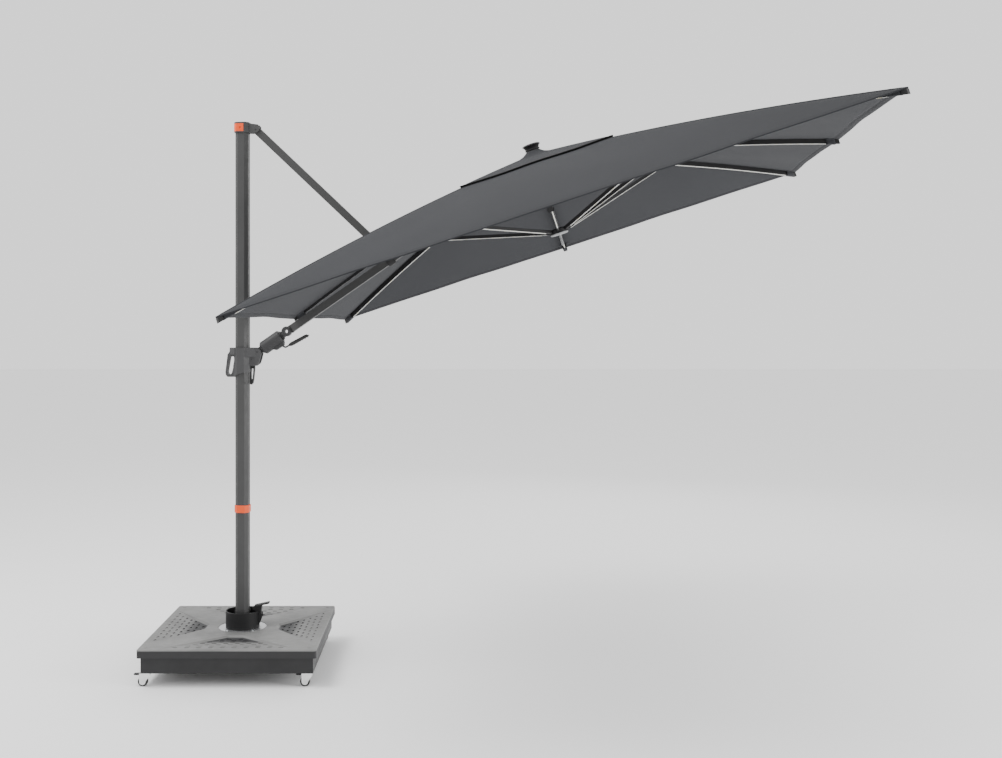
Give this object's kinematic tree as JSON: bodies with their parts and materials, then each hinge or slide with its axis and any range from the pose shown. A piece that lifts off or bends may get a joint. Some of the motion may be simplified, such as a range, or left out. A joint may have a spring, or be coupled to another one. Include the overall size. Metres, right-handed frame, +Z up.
{
  "type": "cantilever patio umbrella with base",
  "caption": "Side-post garden umbrella with a tilting square vented canopy, a sliding carriage on a swivelling mast and a wheeled ballast base.",
  "frame": {"origin": "on the floor, under the axis of the mast, at the middle of the base", "axes": "+Z up along the mast, +X and +Y along the sides of the square base; the arm reaches out along +X, turned a little towards -Y"},
  "size_m": [3.7622, 2.9313, 2.934],
  "materials": {
    "base_plastic": "satin",
    "tray": "satin",
    "steel_frame": "matte",
    "ballast": "rough",
    "bright_disc": "brushed",
    "black_plastic": "satin",
    "spindle_steel": "turned",
    "castor_chrome": "polished",
    "wheel_rubber": "satin",
    "bush": "satin",
    "mast_paint": "powder coat",
    "orange": "satin",
    "pin_steel": "satin",
    "housing": "satin",
    "grip_black": "matte",
    "barrel_paint": "powder coat",
    "pole_silver": "anodised",
    "rib_paint": "powder coat",
    "plate_grey": "satin",
    "light_strip": "frosted",
    "canopy_fabric": "woven",
    "solar_panel": "gloss"
  },
  "bodies": {
    "base": {"base_tray": "tray", "cross_frame": "steel_frame", "ballast_slabs": "ballast", "base_lid": "base_plastic", "pedestal": "steel_frame", "foot_disc": "bright_disc", "swivel_collar": "black_plastic", "swivel_spindle": "spindle_steel", "castor_plates": "castor_chrome"},
    "pedal": {"foot_pedal": "black_plastic", "pedal_tread": "grip_black"},
    "mast_unit": {"mast_foot": "mast_paint", "swivel_bush": "bush", "mast_tube": "mast_paint", "mast_ring": "orange", "mast_head": "mast_paint", "head_insert": "orange", "strut_top_pin": "pin_steel"},
    "carriage": {"carriage_housing": "housing", "carriage_liner": "bush", "carriage_pins": "pin_steel"},
    "squeeze_handle": {"squeeze_handle": "black_plastic"},
    "boom_root": {"boom_knuckle": "barrel_paint", "tilt_barrel": "barrel_paint"},
    "tilt_lever": {"tilt_lever": "pin_steel", "lever_grip": "grip_black"},
    "canopy_unit": {"eye_coupling": "barrel_paint", "boom_seals": "black_plastic", "boom_tube": "mast_paint", "boom_journal": "black_plastic", "crown_hub": "black_plastic", "canopy_pole": "pole_silver", "runner": "black_plastic", "runner_plate": "plate_grey", "corner_ribs": "rib_paint", "side_ribs": "rib_paint", "rib_caps": "black_plastic", "stretchers": "rib_paint", "light_strips": "light_strip", "canopy_cover": "canopy_fabric", "vent_cover": "canopy_fabric", "finial_body": "black_plastic", "finial_panel": "solar_panel"},
    "strut_clevis": {"strut_clevis": "black_plastic"},
    "strut": {"strut_tube": "mast_paint", "strut_head": "mast_paint", "strut_foot": "mast_paint"},
    "castor_front_left": {"castor_fork_front_left": "castor_chrome"},
    "wheel_front_left": {"castor_wheel_front_left": "wheel_rubber"},
    "brake_front_left": {"castor_brake_front_left": "black_plastic"},
    "castor_front_right": {"castor_fork_front_right": "castor_chrome"},
    "wheel_front_right": {"castor_wheel_front_right": "wheel_rubber"},
    "brake_front_right": {"castor_brake_front_right": "black_plastic"},
    "castor_rear_left": {"castor_fork_rear_left": "castor_chrome"},
    "wheel_rear_left": {"castor_wheel_rear_left": "wheel_rubber"},
    "brake_rear_left": {"castor_brake_rear_left": "black_plastic"},
    "castor_rear_right": {"castor_fork_rear_right": "castor_chrome"},
    "wheel_rear_right": {"castor_wheel_rear_right": "wheel_rubber"},
    "brake_rear_right": {"castor_brake_rear_right": "black_plastic"}
  },
  "joints": [
    {"name": "mast_swivel", "type": "hinge", "parent": "base", "child": "mast_unit", "pos_m": [0, 0, 0.3], "axis": [0, 0, 1], "continuous": true},
    {"name": "pedal_press", "type": "hinge", "parent": "base", "child": "pedal", "pos_m": [0.09, 0, 0.261], "axis": [0, 1, 0], "range_deg": [0, 18], "stiffness_Nm_per_rad": 3, "springref_deg": -8.59},
    {"name": "carriage_slide", "type": "slide", "parent": "mast_unit", "child": "carriage", "axis": [0, 0, 1], "range_m": [-0.06, 0.42]},
    {"name": "handle_squeeze", "type": "hinge", "parent": "carriage", "child": "squeeze_handle", "pos_m": [0.05561, -0.00663, 1.648], "axis": [-0.1184, -0.993, 0], "range_deg": [0, 25], "stiffness_Nm_per_rad": 0.6, "springref_deg": -20.05},
    {"name": "boom_pitch", "type": "hinge", "parent": "carriage", "child": "boom_root", "pos_m": [0.08639, -0.0103, 1.688], "axis": [0.1184, 0.993, 0], "range_deg": [-2.65, 18.22]},
    {"name": "lever_swing", "type": "hinge", "parent": "boom_root", "child": "tilt_lever", "pos_m": [0.21607, -0.02576, 1.72356], "axis": [0.1184, 0.993, 0], "range_deg": [0, 20], "stiffness_Nm_per_rad": 1.5, "springref_deg": -17.19},
    {"name": "side_tilt", "type": "hinge", "parent": "boom_root", "child": "canopy_unit", "pos_m": [0.08639, -0.0103, 1.688], "axis": [0.8213, -0.0979, 0.5621], "range_deg": [-15, 15]},
    {"name": "clevis_swivel", "type": "hinge", "parent": "canopy_unit", "child": "strut_clevis", "pos_m": [0.8091, -0.09648, 2.18263], "axis": [0.8213, -0.0979, 0.5621], "range_deg": [-15.5, 15.5]},
    {"name": "strut_pitch", "type": "hinge", "parent": "mast_unit", "child": "strut", "pos_m": [0.07745, -0.00924, 2.893], "axis": [0.1184, 0.993, 0], "range_deg": [-13.55, 1.98]},
    {"name": "castor_swivel_front_left", "type": "hinge", "parent": "base", "child": "castor_front_left", "pos_m": [-0.412, -0.412, 0.06], "axis": [0, 0, 1], "continuous": true},
    {"name": "wheel_spin_front_left", "type": "hinge", "parent": "castor_front_left", "child": "wheel_front_left", "pos_m": [-0.43, -0.412, 0.025], "axis": [0, 1, 0], "continuous": true},
    {"name": "brake_press_front_left", "type": "hinge", "parent": "castor_front_left", "child": "brake_front_left", "pos_m": [-0.439, -0.412, 0.061], "axis": [0, -1, 0], "range_deg": [0, 10]},
    {"name": "castor_swivel_front_right", "type": "hinge", "parent": "base", "child": "castor_front_right", "pos_m": [0.412, -0.412, 0.06], "axis": [0, 0, 1], "continuous": true},
    {"name": "wheel_spin_front_right", "type": "hinge", "parent": "castor_front_right", "child": "wheel_front_right", "pos_m": [0.394, -0.412, 0.025], "axis": [0, 1, 0], "continuous": true},
    {"name": "brake_press_front_right", "type": "hinge", "parent": "castor_front_right", "child": "brake_front_right", "pos_m": [0.385, -0.412, 0.061], "axis": [0, -1, 0], "range_deg": [0, 10]},
    {"name": "castor_swivel_rear_left", "type": "hinge", "parent": "base", "child": "castor_rear_left", "pos_m": [-0.412, 0.412, 0.06], "axis": [0, 0, 1], "continuous": true},
    {"name": "wheel_spin_rear_left", "type": "hinge", "parent": "castor_rear_left", "child": "wheel_rear_left", "pos_m": [-0.43, 0.412, 0.025], "axis": [0, 1, 0], "continuous": true},
    {"name": "brake_press_rear_left", "type": "hinge", "parent": "castor_rear_left", "child": "brake_rear_left", "pos_m": [-0.439, 0.412, 0.061], "axis": [0, -1, 0], "range_deg": [0, 10]},
    {"name": "castor_swivel_rear_right", "type": "hinge", "parent": "base", "child": "castor_rear_right", "pos_m": [0.412, 0.412, 0.06], "axis": [0, 0, 1], "continuous": true},
    {"name": "wheel_spin_rear_right", "type": "hinge", "parent": "castor_rear_right", "child": "wheel_rear_right", "pos_m": [0.394, 0.412, 0.025], "axis": [0, 1, 0], "continuous": true},
    {"name": "brake_press_rear_right", "type": "hinge", "parent": "castor_rear_right", "child": "brake_rear_right", "pos_m": [0.385, 0.412, 0.061], "axis": [0, -1, 0], "range_deg": [0, 10]}
  ],
  "couplings": [
    {"joint": "boom_pitch", "follows": "carriage_slide", "rad_per_m": 0.755},
    {"joint": "strut_pitch", "follows": "carriage_slide", "rad_per_m": -0.561},
    {"joint": "clevis_swivel", "follows": "side_tilt", "ratio": -1}
  ]
}
